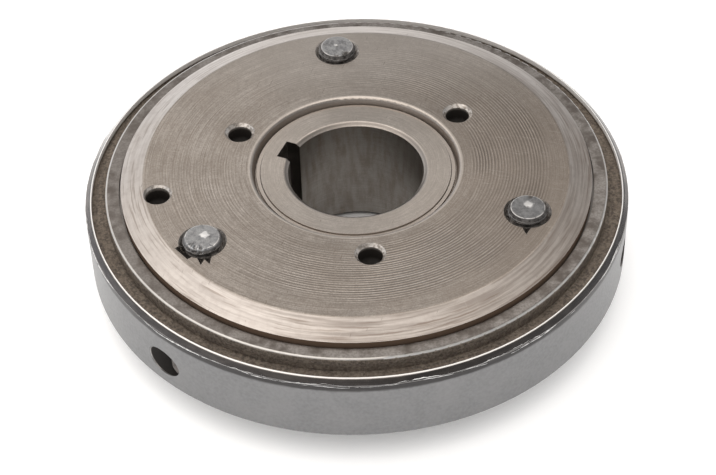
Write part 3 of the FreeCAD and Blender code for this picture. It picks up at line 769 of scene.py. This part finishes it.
# ---- springs ------------------------------------------------------------------
def make_spring(number, material):
    """A compression spring with closed ends.
    Returns the spring, its axis, its fixed foot and its length."""
    node = f"plunger_spring_{number}"
    joint = next(j for j in frame["joints"] if j["name"] == f"plunger_{number}_slide")
    axis = -Vector(joint["axis"]).normalized()
    upwards = Vector((0, 0, 1))
    side = axis.cross(upwards).normalized()
    points = [v.co for v in frame["nodes"][node].data.vertices]
    alongs = [axis.dot(point) for point in points]
    start, length = min(alongs), max(alongs) - min(alongs)
    middle = sum(points, Vector()) / len(points)
    low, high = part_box(node)
    foot = middle + axis * (start - axis.dot(middle))
    foot.z = (low.z + high.z) / 2
    closed = WIRE_R * 2.1  # rise of the closed turn at each end
    open_length = length - 2 * WIRE_R - 2 * closed
    rings = []
    for i in range(SPRING_TURNS * STEPS_PER_COIL + 1):
        turns = i / STEPS_PER_COIL
        dense = closed * min(turns, 1.0) + closed * max(0.0, turns - (SPRING_TURNS - 1))
        free = open_length * min(max(turns - 1, 0) / (SPRING_TURNS - 2), 1.0)
        turn = turns * math.tau
        radial = side * math.cos(turn) + upwards * math.sin(turn)
        centre = foot + axis * (WIRE_R + dense + free) + radial * SPRING_R
        rings.append([centre + (radial * math.cos(a) + axis * math.sin(a)) * WIRE_R
                      for a in circle_of(WIRE_SIDES)])
    spring = skin(f"coil_spring_{number}", rings, material)
    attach(spring, "hub")
    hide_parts(node)
    return spring, axis, foot, length


# ---- stage --------------------------------------------------------------------
def add_camera():
    """The photograph's camera: fitted to the rim, the bore, the holes and the bolts."""
    data = bpy.data.cameras.new("camera")
    data.lens = CAMERA_LENS
    data.sensor_width = 36.0
    data.clip_start = 0.01
    camera = bpy.data.objects.new("camera", data)
    turn = Matrix.Rotation(math.radians(CAMERA_AZIMUTH + 90), 4, "Z")
    tilt = Matrix.Rotation(math.radians(CAMERA_TILT), 4, "X")
    roll = Matrix.Rotation(math.radians(CAMERA_ROLL), 4, "Z")
    place = Matrix.Translation(polar(CAMERA_RANGE, CAMERA_AZIMUTH, CAMERA_HEIGHT))
    camera.matrix_world = place @ turn @ tilt @ roll
    bpy.context.scene.collection.objects.link(camera)
    bpy.context.scene.camera = camera


def add_area(name, place, size, power, colour=(1, 1, 1), mirrored=True):
    """An area light that faces the part; the metal doesn't mirror it when mirrored is off."""
    data = bpy.data.lights.new(name, "AREA")
    data.shape = "RECTANGLE"
    data.size, data.size_y = size
    data.energy = power
    data.color = colour
    light = bpy.data.objects.new(name, data)
    light.location = place
    light.visible_glossy = mirrored
    light.rotation_euler = (-Vector(place)).to_track_quat("-Z", "Y").to_euler()
    bpy.context.scene.collection.objects.link(light)


def add_world():
    """A soft studio: paler to the left (-X) and darker around the camera's side."""
    world = bpy.data.worlds.new("studio")
    world.use_nodes = True
    nodes, links = world.node_tree.nodes, world.node_tree.links
    background = nodes["Background"]
    place = nodes.new("ShaderNodeTexCoord")
    split = nodes.new("ShaderNodeSeparateXYZ")
    links.new(place.outputs["Generated"], split.inputs[0])
    ramp = nodes.new("ShaderNodeValToRGB")
    links.new(split.outputs["Z"], ramp.inputs[0])
    elements = ramp.color_ramp.elements
    while len(elements) < len(SKY):
        elements.new(0.5)
    for element, (position, colour) in zip(elements, SKY):
        element.position = position
        element.color = rgba(colour)
    front = nodes.new("ShaderNodeVectorMath")
    front.operation = "DOT_PRODUCT"
    links.new(place.outputs["Generated"], front.inputs[0])
    front.inputs[1].default_value = polar(0.67, CAMERA_AZIMUTH, 0.74)
    shade = nodes.new("ShaderNodeMapRange")
    shade.interpolation_type = "SMOOTHSTEP"
    links.new(front.outputs["Value"], shade.inputs[0])
    sideways = nodes.new("ShaderNodeMapRange")
    links.new(split.outputs["X"], sideways.inputs[0])
    for node, limits in ((shade, CAMERA_SIDE), (sideways, LEFT_TO_RIGHT)):
        for socket, value in zip(list(node.inputs)[1:5], limits):
            socket.default_value = value
    strength = nodes.new("ShaderNodeMath")
    strength.operation = "MULTIPLY"
    links.new(shade.outputs[0], strength.inputs[0])
    links.new(sideways.outputs[0], strength.inputs[1])
    links.new(ramp.outputs[0], background.inputs["Color"])
    links.new(strength.outputs[0], background.inputs["Strength"])
    bpy.context.scene.world = world


def add_floor():
    """A pale floor that glows a little, except under the part, which is left darker as painted shade."""
    g = Graph("pale_floor")
    shader = g.nodes.new("ShaderNodeBsdfPrincipled")
    output = g.nodes.new("ShaderNodeOutputMaterial")
    cloud = g.noise(g.point, 6.0)
    g.feed(shader.inputs["Base Color"], g.mix(cloud, (0.80, 0.80, 0.80), (0.83, 0.83, 0.83)))
    shader.inputs["Roughness"].default_value = 0.8
    shader.inputs["Emission Color"].default_value = rgba((1.0, 1.0, 1.0))
    g.feed(shader.inputs["Emission Strength"], g.rise(g.radius, 40.0, 60.0, 0.0, FLOOR_GLOW))
    g.links.new(shader.outputs[0], output.inputs[0])
    bm = bmesh.new()
    bmesh.ops.create_circle(bm, cap_ends=True, segments=FLOOR_SEGMENTS, radius=FLOOR_R)
    floor = as_object("floor", bm, g.material)
    floor.location.z = CAD_BOX[0].z - FLOOR_GAP


# ---- build --------------------------------------------------------------------
def build():
    # name, clean tone, dull tone, roughness, size of the grain, pitch of the tool marks
    plate = worn_metal("plate_steel", (0.40, 0.39, 0.38), (0.32, 0.30, 0.28), 0.38, 1.2, 0.25)
    screw = worn_metal("screw_steel", (0.12, 0.12, 0.12), (0.16, 0.15, 0.14), 0.42, 0.5)
    ground = worn_metal("ground_steel", (0.62, 0.61, 0.60), (0.55, 0.54, 0.53), 0.2, 0.8)
    # dark steel, darkened further as painted shade in its bore
    plug = worn_metal("plug_steel", (0.13, 0.115, 0.105), (0.05, 0.045, 0.04), 0.4, 0.6)
    spring = worn_metal("spring_steel", (0.30, 0.29, 0.28), (0.24, 0.22, 0.20), 0.32, 0.3)
    # near white and half matte: the burrs' painted glint, bright from every side
    burr = worn_metal("burr_steel_glint", (0.85, 0.84, 0.83), (0.66, 0.65, 0.64), 0.5, 0.3, metallic=0.35)
    dress(["hub_disc"], turned_steel())
    dress(["clutch_housing"], housing_steel())
    dress(["side_plate"], plate)
    for k in BOLTS:
        dress([f"plate_screw_{k}"], screw)
        dress([f"roller_{k}", f"plunger_{k}"], ground)
        dress([f"spring_plug_{k}"], plug)
    for k, angle in BOLTS.items():
        centre = polar(BOLT_CIRCLE_R, angle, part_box(f"clutch_bolt_{k}")[1].z)
        make_bolt(k, bolt_steel(k, centre, *PATCHES[k]))
        coil, axis, foot, length = make_spring(k, spring)
        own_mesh(coil)
    for name, seed, height, wander, size in BURRS:
        make_burr(name, seed, height, wander, size, burr)


build()
add_camera()
add_world()
add_area("overhead_softbox", (-0.10, 0.03, 0.62), size=(0.95, 0.8), power=1.9, colour=(1.0, 0.95, 0.90))
add_area("floor_light", (0.0, 0.0, 1.0), size=(6.0, 6.0), power=70.0, mirrored=False)
add_floor()
bpy.context.scene.view_settings.view_transform = "Standard"
bpy.context.scene.view_settings.look = "None"
